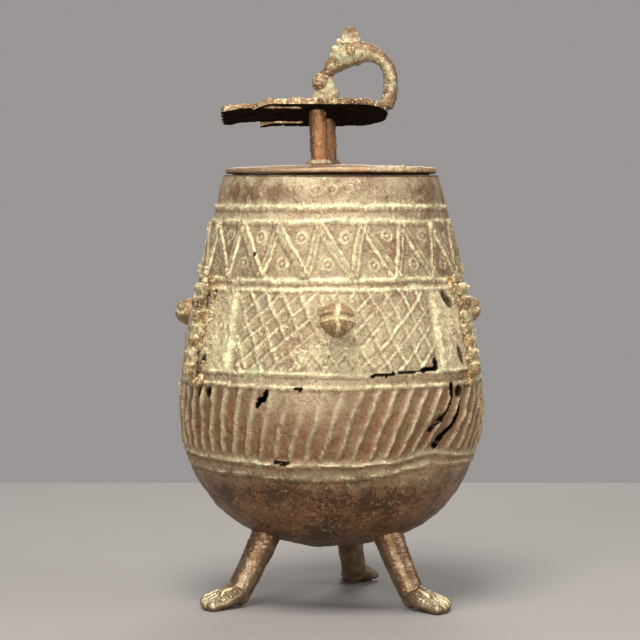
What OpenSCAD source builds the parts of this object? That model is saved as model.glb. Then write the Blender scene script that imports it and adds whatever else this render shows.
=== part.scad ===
// Tripod incense burner of cast bronze: a deep bowl on three legs shaped as human legs and feet,
// with ear handles and ball bosses on its wall, and a lift-off lid that carries a bird looking back
// over its tail. Millimetres, +Z up. The origin is where the axis of the bowl meets the plane that
// the feet stand on, and the front of the bowl faces -Y.

/* [Bowl] */
// Height of the rim above the floor
rim_z = 146; // [125:1:175]
// Outer radius of the rim
rim_r = 37.3; // [32:0.1:44]
// Flat width of the rim, which the lid rests on
rim_w = 3.3; // [2.6:0.1:4]
// Depth of the thick lip below the rim
lip_h = 3; // [2:0.1:5]
// Greatest outer radius of the bowl
belly_r = 51.7; // [44:0.1:62]
// Height of the greatest radius above the floor
belly_z = 68; // [60:1:78]
// Height of the underside of the bowl above the floor
bottom_z = 19; // [16:0.5:24]
// Thickness of the cast wall
wall = 2; // [1.6:0.1:3]
// Height of a raised thread on the wall
thread_h = 0.6; // [0.3:0.1:0.9]
// Width of a raised thread at its foot
thread_w = 1.8; // [1:0.1:2.4]

/* [Legs] */
// Diameter of a shin
shin_d = 9.4; // [7:0.1:12]
// Distance of the knee from the axis of the bowl
knee_r = 24; // [19:0.5:28]
// Distance of the ankle from the axis of the bowl
ankle_r = 33.5; // [28:0.5:40]
// Height of the ankle above the floor
ankle_z = 7.2; // [6:0.1:9]
// Length of a foot from heel to toes
foot_l = 19; // [16:0.5:23]
// Width of a foot over the toes
foot_w = 14.5; // [12:0.5:17]
// Diameter of the largest toe
toe_d = 3.8; // [3.2:0.1:4.5]

/* [Handles and bosses] */
// Width of a handle across its ribbed edge
handle_w = 5; // [4:0.1:6]
// How far a handle stands out from the wall
handle_out = 6.4; // [5.5:0.1:8]
// Height of a handle, from its top to its bottom
handle_h = 37; // [32:0.5:42]
// Height of the middle of the handles above the floor
handle_z = 93.5; // [88:0.5:100]
// Width of the eyes between a handle and the wall
eye_w = 2.2; // [1.6:0.1:3]
// Diameter of a ball boss
boss_d = 11.6; // [9:0.1:14]
// How far a ball boss stands out from the wall
boss_out = 14.2; // [12:0.1:17]
// Height of the bosses above the floor
boss_z = 98.9; // [92:0.5:104]
// Width of the cross groove in a boss
groove_w = 1; // [0.6:0.1:1.6]
// Depth of the cross groove in a boss
groove_deep = 0.8; // [0.4:0.1:1.2]

/* [Lid] */
// How far the rim stands out past the edge of the lid
lid_inset = 1.3; // [0.5:0.1:2]
// Thickness of the lid
lid_t = 1.8; // [1.4:0.1:2.6]
// How much the middle of the lid rises above its edge
lid_rise = 2.7; // [1:0.1:6]
// Depth of the locating ring below the lid
ring_h = 5; // [3:0.1:8]
// Thickness of the locating ring
ring_t = 1.3; // [1:0.1:2]

/* [Bird] */
// Diameter of the two posts that carry the bird
post_d = 6; // [4.5:0.1:7]
// Distance between the axes of the posts
post_gap = 10; // [8:0.1:12]
// Clear height below the middle of the bird's body plate
plate_lift = 15.5; // [12:0.5:20]
// Thickness of the body plate
plate_t = 2; // [1.5:0.1:3]
// Sideways tilt of the body plate, in degrees
plate_tilt = 16; // [0:1:20]
// Length of the body plate from the breast to the tip of the tail
plate_l = 57.2; // [50:0.2:66]
// Width of the body plate over the wings
plate_w = 25.2; // [22:0.2:30]
// Width of the tail
tail_w = 17.4; // [14:0.2:19]
// Width of the slits between the wings and the tail
slit_w = 0.9; // [0.6:0.1:1.4]
// Diameter of the beads along the edges of the body
bead_d = 2; // [1.8:0.1:3]
// Diameter of the neck
neck_d = 4.8; // [4:0.1:6]
// Height of the head's axis above the top of the body plate
head_lift = 19.4; // [17:0.2:23]
// Depth of the head
head_d = 9.2; // [8:0.1:10]
// Width of the head
head_w = 6; // [5:0.1:7]
// Diameter of the ball held below the beak
ball_d = 6.4; // [5:0.1:7.5]
// Height of the crest above the head
crest_h = 4.9; // [3:0.1:7]
// Thickness of the crest
crest_t = 2.6; // [1.8:0.1:3.4]
// Diameter of an eye stud
eye_d = 2.5; // [2:0.1:3]

/* [Fits] */
// Clearance between the locating ring and the mouth of the bowl, on the radius
ring_clearance = 0.4; // [0.3:0.05:0.8]
// Gap of a soldered seam
seam = 0.08; // [0.02:0.01:0.15]

/* [Hidden] */

$fn = 64;
big = 400; // larger than the object, for cutting planes
bronze = [0.42, 0.36, 0.28];
dark_bronze = [0.27, 0.21, 0.17];
copper = [0.68, 0.44, 0.3];
solder_grey = [0.74, 0.72, 0.62];

// Turn of each fitting about the axis of the bowl, from the front towards +X
feature_turn = 1.8;
leg_turns = [-64, 52, 166];
foot_turns = [14, -12, 0]; // how much further forward each foot points than its leg
handle_turns = [-60 + feature_turn, 60 + feature_turn, 180 + feature_turn];
boss_turns = [feature_turn, -120 + feature_turn, 120 + feature_turn];

// The outer profile of the bowl: two cubic curves, from the rim to the belly and on to the bottom
wall_h = rim_z - belly_z;
bowl_h = belly_z - bottom_z;
upper_curve = [
    [rim_r, rim_z], [rim_r + 0.22 * (belly_r - rim_r), rim_z - 0.282 * wall_h],
    [belly_r - 0.1, belly_z + 0.308 * wall_h], [belly_r, belly_z]];
lower_curve = [
    [belly_r, belly_z], [belly_r, belly_z - 0.55 * bowl_h],
    [0.7 * belly_r, bottom_z], [0, bottom_z]];
curve_steps = 14;
eye_gap = 1.6; // from the wall to the near side of a handle's eyes
thread_heights = [for (share = [0.86, 0.8, 0.555, 0.515, 0.167, 0.11]) belly_z + share * wall_h];
bowl_thread_heights = [for (share = [0.655, 0.56]) bottom_z + share * bowl_h];

function cubic(p, t) =
    pow(1 - t, 3) * p[0] + 3 * pow(1 - t, 2) * t * p[1] + 3 * (1 - t) * t * t * p[2] + t * t * t * p[3];
function heading(p, t) =
    pow(1 - t, 2) * (p[1] - p[0]) + 2 * (1 - t) * t * (p[2] - p[1]) + t * t * (p[3] - p[2]);
// A point on the curve p, moved inwards by depth square to the curve
function inset(p, t, depth) =
    let (d = heading(p, t)) cubic(p, t) + depth * [d.y, -d.x] / norm(d);
function steps(first, last, n) = [for (i = [0:n]) first + (last - first) * i / n];

outer_upper = [for (t = steps(0, 1, curve_steps)) cubic(upper_curve, t)];
outer_lower = [for (t = steps(0, 1, curve_steps)) cubic(lower_curve, t)];
lip_share = lip_h / wall_h; // where the thick lip ends on the upper curve
inner_upper = [for (t = steps(lip_share + 0.05, 1, curve_steps)) inset(upper_curve, t, wall)];
inner_lower = [for (t = steps(1 / curve_steps, 1, curve_steps)) inset(lower_curve, t, wall)];
// Outer radius of the bowl at a height
wall_radii = [for (p = concat(outer_upper, outer_lower)) [p.y, p.x]];
function wall_r(z) = lookup(z, wall_radii);

mouth_r = rim_r - rim_w;
lid_r = rim_r - lid_inset;
ring_r = mouth_r - ring_clearance;
lid_top = rim_z + lid_t + lid_rise;

// The body plate is built flat and tilted; its breast is at plate_front and its tail points to -X
plate_front = 19.5;
plate_z = lid_top + plate_lift;
tail_tip = plate_front - plate_l;
wing_tip = plate_front - 0.753 * plate_l;
slit_end = plate_front - 0.54 * plate_l;
tail_lobe_r = tail_w / 4;
bead_count = 9;
beads_first = plate_front - 0.11 * plate_l;
bead_pitch = 2.15;

// The neck rises from the breast, turns back and carries the head to the beak
head_z = plate_z + plate_t + head_lift;
neck_curve = [
    [plate_front - 2, plate_z + plate_t - 0.4], [plate_front + 3, plate_z + plate_t + 0.3 * head_lift],
    [plate_front + 2.1, head_z - 1.4], [plate_front - 7, head_z]];
head_curve = [
    [plate_front - 7, head_z], [plate_front - 11.5, head_z + 0.5],
    [plate_front - 16.5, head_z - 0.9], [plate_front - 21.1, head_z - 7.5]];
neck_steps = 16;
head_steps = 12;
spine = concat(
    [for (t = steps(0, 1, neck_steps)) concat(cubic(neck_curve, t), heading(neck_curve, t))],
    [for (t = steps(1 / head_steps, 1, head_steps - 1)) concat(cubic(head_curve, t), heading(head_curve, t))]);
// Half depth and half width of the neck and head along the spine, from the breast (0) to the beak (1)
half_depths = [
    [0, neck_d * 0.6], [0.25, neck_d / 2], [0.45, neck_d / 2], [0.57, head_d * 0.36],
    [0.7, head_d / 2], [0.86, head_d * 0.43], [1, head_d * 0.21]];
half_widths = [
    [0, neck_d * 0.55], [0.25, neck_d / 2], [0.45, neck_d / 2], [0.57, head_w * 0.44],
    [0.7, head_w / 2], [0.86, head_w * 0.42], [1, head_w * 0.26]];
spine_sides = 16;
// The flat end of the beak rests on the ball
beak_end = head_curve[3];
ball_at = beak_end + (ball_d / 2 + seam) * (head_curve[3] - head_curve[2]) / norm(head_curve[3] - head_curve[2]);
eye_at = cubic(head_curve, 0.42) + [0, head_d * 0.12];
crest_x = plate_front - 12.6;

// Turns its children, which face -Y, to a place round the axis of the bowl
module around(turn) rotate([0, 0, turn]) children();

// The solid inside the outer profile of the bowl, grown by a gap
module bowl_outside(gap) {
    rotate_extrude(angle = 360)
        polygon(concat(
            [for (t = steps(0, 1, curve_steps)) inset(upper_curve, t, -gap)],
            [for (t = steps(1 / curve_steps, 1, curve_steps - 1)) inset(lower_curve, t, -gap)],
            [[0, rim_z]]));
}

module thread_profile(z)
    let (r = wall_r(z))
    polygon([
        [r - wall / 2, z - thread_w / 2], [r, z - thread_w / 2], [r + thread_h, z - thread_w / 5],
        [r + thread_h, z + thread_w / 5], [r, z + thread_w / 2], [r - wall / 2, z + thread_w / 2]]);

module vessel_body() {
    color(bronze) {
        rotate_extrude(angle = 360)
            polygon(concat(
                outer_upper, [for (i = [1:curve_steps]) outer_lower[i]],
                [for (i = [curve_steps:-1:0]) inner_lower[i]],
                [for (i = [curve_steps:-1:0]) inner_upper[i]],
                [[mouth_r, rim_z - lip_h], [mouth_r, rim_z]]));
        for (z = concat(thread_heights, bowl_thread_heights))
            rotate_extrude(angle = 360) thread_profile(z);
    }
}

// One leg with its foot: the shin leans outwards and the toes point ahead
module leg(leg_turn, foot_turn) {
    knee_z = bottom_z + shin_d / 2;
    heel_back = foot_l * 0.18;
    toe_reach = foot_l - heel_back - toe_d / 2;
    color(dark_bronze)
        around(leg_turn)
            difference() {
                union() {
                    hull() {
                        translate([0, -knee_r, knee_z]) sphere(d = shin_d * 1.08, $fn = 24);
                        translate([0, -ankle_r, ankle_z]) sphere(d = shin_d * 0.94, $fn = 24);
                    }
                    translate([0, -ankle_r, 0]) rotate([0, 0, foot_turn]) {
                        hull() {
                            translate([0, 0, ankle_z]) sphere(d = shin_d * 0.94, $fn = 24);
                            translate([0, heel_back - shin_d / 2 + 1, 2.6]) sphere(d = shin_d * 0.8, $fn = 24);
                            for (side = [-1, 1])
                                translate([side * (foot_w - toe_d) / 2, -toe_reach * 0.78, toe_d * 0.4])
                                    sphere(d = toe_d, $fn = 20);
                        }
                        for (i = [0:4])
                            translate([
                                (i - 2) * (foot_w - toe_d) / 4, -toe_reach + 0.5 * abs(i - 2), toe_d * 0.35])
                                sphere(d = toe_d * 0.94);
                    }
                }
                translate([-big / 2, -big / 2, -big]) cube(big);
                bowl_outside(seam);
            }
}

module leg_left() leg(leg_turns[0], foot_turns[0]);
module leg_right() leg(leg_turns[1], foot_turns[1]);
module leg_rear() leg(leg_turns[2], foot_turns[2]);

// Extrudes each child on its own, so that outlines that overlap join as solids
module extrude_each(thickness)
    for (i = [0:$children - 1]) linear_extrude(thickness) children(i);

// A handle in the plane of the axis: x is the distance from the axis and y is the height.
// It is two round lobes joined by a bar, with an eye through each lobe.
module handle_shape() {
    top_z = handle_z + 0.28 * handle_h;
    low_z = handle_z - 0.28 * handle_h;
    top_lobe = handle_h * 0.2;
    low_lobe = handle_h * 0.22;
    top_x = wall_r(top_z) + handle_out - top_lobe;
    low_x = wall_r(low_z) + handle_out - low_lobe;
    difference() {
        extrude_each(handle_w) {
            translate([top_x, top_z]) circle(r = top_lobe);
            translate([low_x, low_z]) circle(r = low_lobe);
            polygon([
                [top_x, top_z], [top_x + top_lobe * 0.96, top_z],
                [wall_r(handle_z) + handle_out * 0.86, handle_z],
                [low_x + low_lobe * 0.96, low_z], [low_x, low_z]]);
        }
        translate([wall_r(top_z) + eye_gap + eye_w / 2, top_z, -1]) handle_eye(handle_h * 0.16);
        translate([wall_r(low_z) + eye_gap + eye_w / 2, low_z, -1]) handle_eye(handle_h * 0.23);
    }
}

// One narrow eye with round ends, of a given height, through the width of a handle
module handle_eye(eye_h) {
    straight = eye_h - eye_w;
    extrude_each(handle_w + 2) {
        square([eye_w, straight], center = true);
        translate([0, straight / 2]) circle(d = eye_w);
        translate([0, -straight / 2]) circle(d = eye_w);
    }
}

module handle(turn) {
    color(bronze)
        around(turn)
            difference() {
                rotate([90, 0, -90]) translate([0, 0, -handle_w / 2]) handle_shape();
                bowl_outside(thread_h + seam);
            }
}

module handle_left() handle(handle_turns[0]);
module handle_right() handle(handle_turns[1]);
module handle_rear() handle(handle_turns[2]);

// A ball with a groove along and across its face, on a short stem
module boss(turn) {
    ball_r = boss_d / 2;
    ball_y = wall_r(boss_z) + boss_out - ball_r;
    color(copper)
        around(turn)
            translate([0, -ball_y, boss_z])
                difference() {
                    union() {
                        sphere(d = boss_d);
                        rotate([-90, 0, 0]) cylinder(h = boss_out - ball_r + wall, d = boss_d * 0.62);
                    }
                    difference() {
                        union() {
                            translate([0, -ball_r, 0]) cube([groove_w, boss_d, boss_d * 2], center = true);
                            translate([0, -ball_r, 0]) cube([boss_d * 2, boss_d, groove_w], center = true);
                        }
                        sphere(r = ball_r - groove_deep);
                    }
                    translate([0, ball_y, -boss_z]) bowl_outside(seam);
                }
}

module boss_front() boss(boss_turns[0]);
module boss_left() boss(boss_turns[1]);
module boss_right() boss(boss_turns[2]);

// Height of the top of the lid at a distance from its middle
function lid_z(r) = rim_z + lid_t + lid_rise * (1 - pow(r / lid_r, 2));

module lid_disc() {
    seat_r = ring_r - ring_t; // the underside is flat from here to the edge
    color(copper)
        rotate_extrude(angle = 360)
            polygon(concat(
                [for (r = steps(0, lid_r, 10)) [r, lid_z(r)]],
                [[lid_r, rim_z], [seat_r, rim_z]],
                [for (r = steps(seat_r - 1, 0, 8)) [r, lid_z(r) - lid_t]]));
}

// The ring under the lid that keeps it centred in the mouth
module lid_ring() {
    color(copper)
        translate([0, 0, rim_z - ring_h])
            difference() {
                cylinder(h = ring_h, r = ring_r);
                translate([0, 0, -1]) cylinder(h = ring_h + 2, r = ring_r - ring_t);
            }
}

// All that lies above the underside of the tilted body plate
module above_plate()
    translate([0, 0, plate_z]) rotate([-plate_tilt, 0, 0])
        translate([-big / 2, -big / 2, 0]) cube(big);

// One post, at a distance in front of (-1) or behind (1) the middle of the lid
module post(side, foot_x) {
    color(copper)
        difference() {
            translate([foot_x, side * post_gap / 2, lid_z(0) + seam])
                cylinder(h = plate_lift + plate_w / 2, d = post_d);
            above_plate();
        }
}

near_post_x = -4;
far_post_x = -0.8;
module post_near() post(-1, near_post_x);
module post_far() post(1, far_post_x);

// The solder run round the foot of each post
module post_solder() {
    solder_h = 1.6;
    color(solder_grey)
        for (p = [[near_post_x, -post_gap / 2], [far_post_x, post_gap / 2]])
            translate([p.x, p.y, lid_z(0) + seam])
                difference() {
                    cylinder(h = solder_h, d1 = post_d + 2.8, d2 = post_d + 0.8);
                    translate([0, 0, -1]) cylinder(h = solder_h + 2, d = post_d + 2 * seam);
                }
}

// Half of the plate's edge, from the breast to the wing tip and on along the tail
function half_edge(side) = [
    [plate_front, side * 2.4], [plate_front - 3, side * plate_w * 0.31],
    [plate_front - 8, side * plate_w * 0.43], [plate_front - 15, side * plate_w * 0.49],
    [plate_front - 26, side * plate_w * 0.5], [plate_front - 34, side * plate_w * 0.485],
    [wing_tip + 3, side * plate_w * 0.45], [wing_tip, side * (tail_w / 2 + 1.8 * slit_w)],
    [wing_tip + 0.6, side * (tail_w + slit_w) / 2]];

// The flat plate: the body with its wings, and the tail with three lobes at its end
module plate_shape() {
    tail_end = tail_tip + tail_lobe_r;
    far_side = half_edge(1);
    difference() {
        extrude_each(plate_t) {
            polygon(concat(half_edge(-1), [for (i = [len(far_side) - 1:-1:0]) far_side[i]]));
            translate([tail_end + 0.6, -tail_w / 2]) square([wing_tip + 4 - tail_end, tail_w]);
            translate([tail_end, -tail_lobe_r]) square([2, 2 * tail_lobe_r]);
            translate([tail_end, 0]) circle(r = tail_lobe_r);
            translate([tail_end + 0.6, tail_w / 2 - tail_lobe_r]) circle(r = tail_lobe_r);
            translate([tail_end + 0.6, tail_lobe_r - tail_w / 2]) circle(r = tail_lobe_r);
        }
        for (side = [-1, 1])
            translate([wing_tip - 1, side * (tail_w + slit_w) / 2 - slit_w / 2, -1])
                cube([slit_end - wing_tip + 1, slit_w, plate_t + 2]);
    }
}

module on_plate() translate([0, 0, plate_z]) rotate([-plate_tilt, 0, 0]) children();

module bird_plate() {
    color(bronze) on_plate() plate_shape();
}

// Half beads along both long edges of the body, each seated on the plate
module plate_beads() {
    bead_inset = bead_d / 2 + 0.2;
    color(copper)
        on_plate()
            for (side = [-1, 1], i = [0:bead_count - 1]) {
                along = beads_first - i * bead_pitch;
                edge = side * lookup(along, [for (p = half_edge(1)) [p.x, p.y]]);
                translate([along, edge - side * bead_inset, plate_t + seam])
                    difference() {
                        sphere(d = bead_d);
                        translate([-bead_d, -bead_d, -2 * bead_d]) cube(2 * bead_d);
                    }
            }
}

// The neck and head: elliptical rings along the spine, closed at the breast and at the beak
module neck_and_head() {
    count = len(spine);
    rings = [
        for (i = [0:count - 1])
            let (
                p = spine[i], share = i / (count - 1),
                d = [p[2], p[3]] / norm([p[2], p[3]]), side = [-d.y, d.x],
                a = lookup(share, half_depths), b = lookup(share, half_widths))
            for (k = [0:spine_sides - 1])
                let (angle = 360 * k / spine_sides)
                [p[0] + side.x * a * cos(angle), b * sin(angle), p[1] + side.y * a * cos(angle)]];
    sides = [
        for (i = [0:count - 2], k = [0:spine_sides - 1])
            let (next = (k + 1) % spine_sides, low = i * spine_sides, high = low + spine_sides)
            [low + k, low + next, high + next, high + k]];
    polyhedron(
        points = rings,
        faces = concat(
            [[for (k = [spine_sides - 1:-1:0]) k]], sides,
            [[for (k = [0:spine_sides - 1]) (count - 1) * spine_sides + k]]),
        convexity = 6);
}

module bird_neck() {
    color(bronze)
        difference() {
            neck_and_head();
            on_plate() translate([-big / 2, -big / 2, plate_t + seam - big]) cube(big);
        }
}

module bird_crest() {
    top_z = head_z + head_d / 2 + crest_h - 0.5;
    color(bronze)
        difference() {
            rotate([90, 0, 0])
                translate([0, 0, -crest_t / 2])
                    linear_extrude(crest_t)
                        polygon([
                            [crest_x - 3.4, head_z], [crest_x - 3.3, top_z - 2.6],
                            [crest_x - 1.5, top_z - 0.2], [crest_x - 0.4, top_z], [crest_x + 1, top_z - 0.3],
                            [crest_x + 2.4, top_z - 2.4], [crest_x + 3.5, top_z - 4.8],
                            [crest_x + 3.4, head_z]]);
            neck_and_head();
        }
}

module beak_ball() {
    color(copper) translate([ball_at.x, 0, ball_at.y]) sphere(d = ball_d);
}

// The mound of solder that carries the ball on the plate
module beak_solder() {
    base_d = ball_d * 1.3;
    mound_x = ball_at.x + 1.2;
    color(solder_grey)
        difference() {
            translate([mound_x, 0, plate_z])
                cylinder(h = ball_at.y - plate_z - ball_d * 0.3, d1 = base_d, d2 = ball_d * 0.85);
            translate([ball_at.x, 0, ball_at.y]) sphere(r = ball_d / 2 + seam);
            on_plate() translate([-big / 2, -big / 2, plate_t + seam - big]) cube(big);
        }
}

// A domed stud on the cheek, in front (-1) or behind (1)
module eye(side) {
    cheek = head_w * 0.48 + seam;
    color(copper)
        translate([eye_at.x, side * cheek, eye_at.y])
            difference() {
                sphere(d = eye_d);
                translate([-eye_d, side > 0 ? -2 * eye_d : 0, -eye_d]) cube(2 * eye_d);
            }
}

module eye_near() eye(-1);
module eye_far() eye(1);

vessel_body();
leg_left();
leg_right();
leg_rear();
handle_left();
handle_right();
handle_rear();
boss_front();
boss_left();
boss_right();
lid_disc();
lid_ring();
post_near();
post_far();
post_solder();
bird_plate();
plate_beads();
bird_neck();
bird_crest();
beak_ball();
beak_solder();
eye_near();
eye_far();
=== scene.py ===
import math

import bpy
import numpy as np
from mathutils import Matrix, Vector


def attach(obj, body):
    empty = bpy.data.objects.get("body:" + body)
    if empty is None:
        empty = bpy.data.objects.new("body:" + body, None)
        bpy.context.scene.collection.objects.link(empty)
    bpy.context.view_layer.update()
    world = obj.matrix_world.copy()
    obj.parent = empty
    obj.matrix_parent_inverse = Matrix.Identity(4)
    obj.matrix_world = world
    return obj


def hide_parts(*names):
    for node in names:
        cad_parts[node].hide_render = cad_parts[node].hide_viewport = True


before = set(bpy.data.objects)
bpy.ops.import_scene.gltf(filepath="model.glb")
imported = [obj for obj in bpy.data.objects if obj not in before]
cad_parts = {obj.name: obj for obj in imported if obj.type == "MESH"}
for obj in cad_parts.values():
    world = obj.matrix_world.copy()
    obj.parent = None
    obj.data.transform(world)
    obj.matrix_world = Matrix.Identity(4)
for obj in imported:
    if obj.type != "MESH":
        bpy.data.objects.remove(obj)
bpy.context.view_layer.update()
mm = 0.001  # the tables below are in millimetres, with turns in degrees


# Selecting, shaping, joining and finishing meshes


def deselectAll():
    bpy.ops.object.select_all(action="DESELECT")


def pick(piece):
    deselectAll()
    piece.select_set(True)
    bpy.context.view_layer.objects.active = piece


def readPoints(piece):
    points = np.empty(len(piece.data.vertices) * 3)
    piece.data.vertices.foreach_get("co", points)
    return points.reshape(-1, 3) / mm


def readNormals(piece):
    normals = np.empty(len(piece.data.vertices) * 3)
    piece.data.vertices.foreach_get("normal", normals)
    return normals.reshape(-1, 3)


def writePoints(piece, points):
    piece.data.vertices.foreach_set("co", (np.asarray(points) * mm).ravel())
    piece.data.update()


def paintPoints(piece, name, values):
    layer = piece.data.attributes.new(name, "FLOAT", "POINT")
    layer.data.foreach_set("value", np.clip(values, 0, 1).astype(np.float32))


def applyPlace(piece):
    pick(piece)
    bpy.ops.object.transform_apply(location=True, rotation=True, scale=True)


def useModifier(piece, kind, **settings):
    pick(piece)
    modifier = piece.modifiers.new(kind.title(), kind)
    for key, value in settings.items():
        setattr(modifier, key, value)
    bpy.ops.object.modifier_apply(modifier=modifier.name)


def editWhole(piece, operator, **settings):
    pick(piece)
    bpy.ops.object.mode_set(mode="EDIT")
    bpy.ops.mesh.select_all(action="SELECT")
    operator(**settings)
    bpy.ops.object.mode_set(mode="OBJECT")


def mergeDoubles(piece, distance):
    editWhole(piece, bpy.ops.mesh.remove_doubles, threshold=distance * mm)


def faceOutwards(piece):
    editWhole(piece, bpy.ops.mesh.normals_make_consistent, inside=False)


def deleteFaces(piece, gone):
    pick(piece)
    mesh = piece.data
    mesh.vertices.foreach_set("select", np.zeros(len(mesh.vertices), dtype=bool))
    mesh.edges.foreach_set("select", np.zeros(len(mesh.edges), dtype=bool))
    mesh.polygons.foreach_set("select", gone)
    bpy.ops.object.mode_set(mode="EDIT")
    bpy.ops.mesh.select_mode(type="FACE")
    bpy.ops.mesh.delete(type="FACE")
    bpy.ops.mesh.select_mode(type="VERT")
    bpy.ops.object.mode_set(mode="OBJECT")


def smoothFaces(piece, angle):
    pick(piece)
    bpy.ops.object.shade_smooth_by_angle(angle=math.radians(angle))


def joinPieces(pieces, name):
    deselectAll()
    for piece in pieces:
        piece.select_set(True)
    bpy.context.view_layer.objects.active = pieces[0]
    if len(pieces) > 1:
        bpy.ops.object.join()
    pieces[0].name = name
    return pieces[0]


def copyNode(node, name, merge=0.002):
    # A loose copy of a CAD node, with the corners of its triangles joined up
    pick(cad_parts[node])
    bpy.ops.object.duplicate()
    made = bpy.context.object
    made.name = name
    made.parent = None
    mergeDoubles(made, merge)
    return made


def finishPiece(piece, material, body, slot, *nodes):
    piece.data.materials.clear()
    piece.data.materials.append(material)
    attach(piece, body)
    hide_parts(*nodes)


def wrappedGrid(name, columns, rows, place):
    # A flat grid bent to a shape: u runs round the piece and v along it, both from 0 to 1
    deselectAll()
    bpy.ops.mesh.primitive_grid_add(x_subdivisions=columns, y_subdivisions=rows, size=2 * mm)
    piece = bpy.context.object
    piece.name = name
    flat = readPoints(piece)
    writePoints(piece, place((flat[:, 0] + 1) / 2, (flat[:, 1] + 1) / 2))
    return piece


def roundBlob(place, size, turn=(0, 0, 0), segments=24):
    deselectAll()
    bpy.ops.mesh.primitive_uv_sphere_add(
        segments=segments, ring_count=segments // 2, radius=mm, location=Vector(place) * mm, rotation=turn)
    blob = bpy.context.object
    blob.scale = (size, size, size) if isinstance(size, (int, float)) else size
    applyPlace(blob)
    return blob


def blobChain(stations, count):
    # Overlapping round blobs along a line of (x, y, z, radius) stations
    line = np.array(stations, float)
    share = np.linspace(0, 1, len(line))
    blobs = []
    for t in np.linspace(0, 1, count):
        x, y, z, radius = (np.interp(t, share, line[:, k]) for k in range(4))
        blobs.append(roundBlob((x, y, z), float(radius), segments=16))
    return blobs


def fuse(piece, voxel, smoothing):
    useModifier(piece, "REMESH", mode="VOXEL", voxel_size=voxel * mm)
    useModifier(piece, "SMOOTH", factor=0.5, iterations=smoothing)


waveCount = 14
waves = np.random.default_rng(5)
waveTurns = waves.normal(size=(waveCount, 3))
waveTurns /= np.linalg.norm(waveTurns, axis=1)[:, None]
waveLengths = waves.uniform(0.55, 1.5, waveCount)
wavePhases = waves.uniform(0, 2 * math.pi, waveCount)


def ripple(x, y, z, length, seed):
    # Smooth uneven bumps of about one length, mostly from -1 to 1, the same on every run
    total = 0
    for (a, b, c), stretch, phase in zip(waveTurns, waveLengths, wavePhases):
        k = 2 * math.pi / length / stretch
        total = total + np.sin(k * (a * x + b * y + c * z) + phase * (1 + seed))
    return total / 4


def pitMetal(piece, depth, length, seed):
    # Leaves the uneven skin of an old casting, most of it a little below the true surface
    points = readPoints(piece)
    uneven = ripple(*points.T, length, seed) + 0.6 * ripple(*points.T, length / 2.7, seed + 2)
    writePoints(piece, points + readNormals(piece) * (depth * (uneven - 0.6))[:, None])


def turnPiece(piece, turn):
    # Turns a piece that faces -Y to its place round the axis of the bowl
    piece.data.transform(Matrix.Rotation(math.radians(turn), 4, "Z"))


def stepUp(value, low, high):
    t = np.clip((value - low) / (high - low), 0, 1)
    return t * t * (3 - 2 * t)


def ridge(distance, halfWidth):
    return np.clip(1 - (distance / halfWidth) ** 2, 0, 1) ** 2


def wrap(value, period):
    return (value + period / 2) % period - period / 2


def lengthsAlong(line):
    return np.concatenate([[0], np.cumsum(np.hypot(*np.diff(line, axis=0).T))])


def roundAxis(reach, angle, height):
    # Points round the axis of the bowl, with the angle in radians from the front
    return np.column_stack([reach * np.sin(angle), -reach * np.cos(angle), height])


# Materials


def colour(red, green, blue):
    # Takes plain screen values from 0 to 255
    linear = [((c / 255 + 0.055) / 1.055) ** 2.4 if c > 10 else c / 255 / 12.92 for c in (red, green, blue)]
    return (*linear, 1.0)


class Wire:
    def __init__(self, paint, socket):
        self.paint = paint
        self.socket = socket

    def calculate(self, operation, first, second):
        return self.paint.node("ShaderNodeMath", {"operation": operation}, {0: first, 1: second})

    def __add__(self, other):
        return self.calculate("ADD", self, other)

    def __radd__(self, other):
        return self.calculate("ADD", other, self)

    def __sub__(self, other):
        return self.calculate("SUBTRACT", self, other)

    def __rsub__(self, other):
        return self.calculate("SUBTRACT", other, self)

    def __mul__(self, other):
        return self.calculate("MULTIPLY", self, other)

    def __rmul__(self, other):
        return self.calculate("MULTIPLY", other, self)


class Paint:
    def __init__(self, name):
        self.material = bpy.data.materials.new(name)
        self.material.use_nodes = True
        self.tree = self.material.node_tree
        self.shader = self.tree.nodes["Principled BSDF"]
        self.place = self.node("ShaderNodeTexCoord", output="Object")

    def node(self, kind, settings=None, inputs=None, output=0):
        made = self.tree.nodes.new(kind)
        for key, value in (settings or {}).items():
            setattr(made, key, value)
        for key, value in (inputs or {}).items():
            self.feed(made.inputs[key], value)
        return Wire(self, made.outputs[output])

    def feed(self, socket, value):
        if isinstance(value, Wire):
            self.tree.links.new(value.socket, socket)
        else:
            socket.default_value = value

    def noise(self, size, detail, roughness, seed, distortion=0.0):
        # size is the width of a typical patch, in millimetres
        return self.node("ShaderNodeTexNoise", {"noise_dimensions": "4D"}, {
            "Vector": self.place, "W": seed, "Scale": 1 / (size * mm), "Detail": detail,
            "Roughness": roughness, "Distortion": distortion})

    def above(self, value, low, high):
        return self.node("ShaderNodeMapRange", {"interpolation_type": "SMOOTHSTEP"}, {
            "Value": value, "From Min": low, "From Max": high})

    def blend(self, share, first, second):
        return self.node("ShaderNodeMix", {"data_type": "RGBA"}, {0: share, 6: first, 7: second}, output=2)

    def mark(self, name):
        return self.node("ShaderNodeAttribute", {"attribute_name": name}, output="Fac")


bronzeTones = {
    "khaki": colour(180, 165, 134),
    "mauve": colour(152, 131, 106),
    "cream": colour(244, 236, 190),
    "brown": colour(108, 79, 53),
    "deepBrown": colour(76, 53, 34),
    "umber": colour(128, 100, 70),
    "redBrown": colour(126, 73, 34),
    "copper": colour(162, 114, 78),
    "gold": colour(196, 162, 112),
    "verdigris": colour(150, 168, 128),
    "pit": colour(22, 13, 9),
}
# Heights between which the bowl turns brown at the ribs and dark at the foot
bowlTones = {"ribsFrom": 84.0, "ribsTo": 62.0, "footFrom": 51.0, "footTo": 40.0, "uneven": 22.0}


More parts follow.
